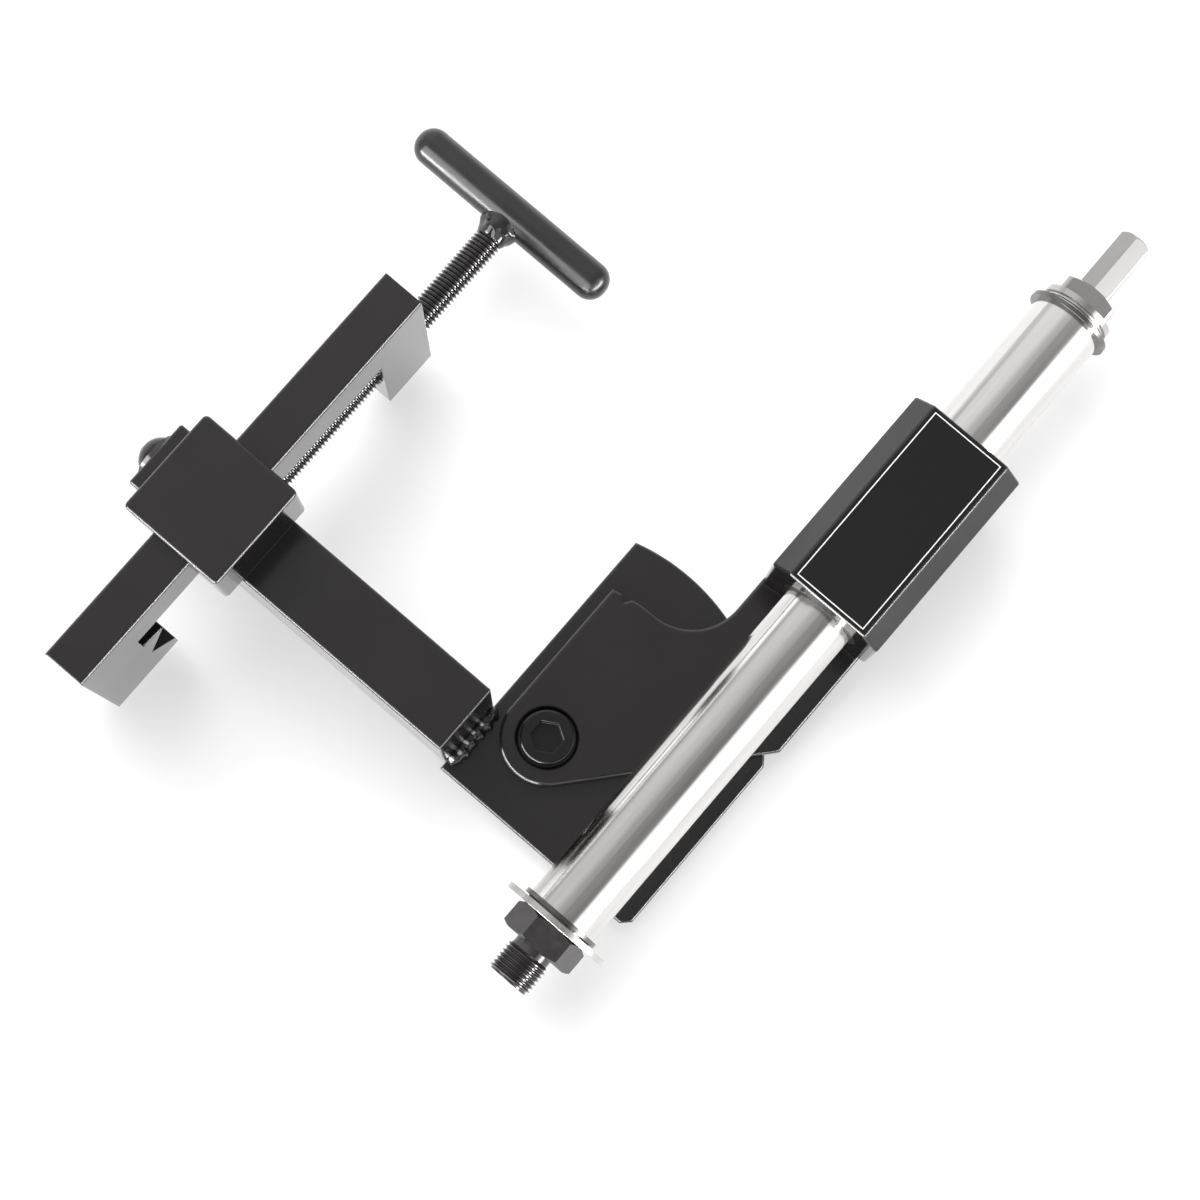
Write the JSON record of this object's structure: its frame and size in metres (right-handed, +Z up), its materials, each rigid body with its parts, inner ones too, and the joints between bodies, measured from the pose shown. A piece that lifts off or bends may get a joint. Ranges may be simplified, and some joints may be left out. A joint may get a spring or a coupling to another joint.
{
  "type": "tube notcher",
  "caption": "Bench tube notcher: swivelling head with a sliding quill and hex-driven hole saw arbor on a base plate, and a screw clamp with a notched jaw on a side arm.",
  "frame": {"origin": "on the pivot bolt's axis, at the underside of the base plate", "axes": "+Z up from the bench, +Y along the spindle towards the drive shank, +X from the clamp towards the spindle, head square to the tube"},
  "size_m": [0.228, 0.3396, 0.093],
  "materials": {
    "black_paint": "satin black paint on steel plate and bar",
    "black_gloss": "gloss black paint",
    "weld_metal": "gloss black paint over lumpy weld metal",
    "black_oxide": "black oxide, slightly oiled",
    "label_black": "satin, unprinted",
    "ground_steel": "ground bright",
    "zinc_plate": "zinc plated",
    "bright_steel": "turned and drawn bright",
    "bearing_bronze": "machined"
  },
  "bodies": {
    "base": {"base_plate": "black_paint", "clamp_arm": "black_paint", "arm_weld": "weld_metal", "saddle": "black_paint", "saddle_weld": "weld_metal", "pivot_bolt": "black_oxide", "arm_end_washer": "black_oxide", "arm_end_screw": "black_oxide"},
    "clamp_frame_body": {"clamp_frame": "black_paint"},
    "clamp_screw_body": {"clamp_screw": "black_oxide", "t_handle": "black_gloss", "handle_weld": "weld_metal"},
    "swivel_head": {"swivel_plate": "black_paint", "bearing_block": "black_paint", "front_guide_bush": "bearing_bronze", "rear_guide_bush": "bearing_bronze", "label_plate": "label_black", "block_weld": "weld_metal"},
    "quill": {"quill_tube": "ground_steel", "front_retaining_ring": "black_oxide", "rear_retaining_ring": "black_oxide", "front_spindle_bearing": "bearing_bronze", "rear_spindle_bearing": "bearing_bronze"},
    "spindle": {"spindle_shaft": "black_oxide", "spindle_nut": "black_oxide", "flange_washer": "zinc_plate", "thrust_washer": "zinc_plate", "drive_shank": "bright_steel"}
  },
  "joints": [
    {"name": "swivel", "type": "hinge", "parent": "base", "child": "swivel_head", "pos_m": [0, 0, 0.011], "axis": [0, 0, 1], "range_deg": [-50, 0]},
    {"name": "quill_feed", "type": "slide", "parent": "swivel_head", "child": "quill", "axis": [0, 1, 0], "range_m": [-0.054, 0.126]},
    {"name": "spindle_spin", "type": "hinge", "parent": "quill", "child": "spindle", "pos_m": [0.0424, 0, 0.036], "axis": [0, 1, 0], "continuous": true},
    {"name": "clamp_screw_turn", "type": "hinge", "parent": "base", "child": "clamp_screw_body", "pos_m": [-0.1226, 0, 0.036], "axis": [0, 1, 0], "range_deg": [-4753, 10801]},
    {"name": "clamp_slide", "type": "slide", "parent": "base", "child": "clamp_frame_body", "axis": [0, 1, 0], "range_m": [-0.045, 0.0198]}
  ],
  "couplings": [
    {"joint": "clamp_screw_turn", "follows": "clamp_slide", "rad_per_m": -4188.8}
  ]
}
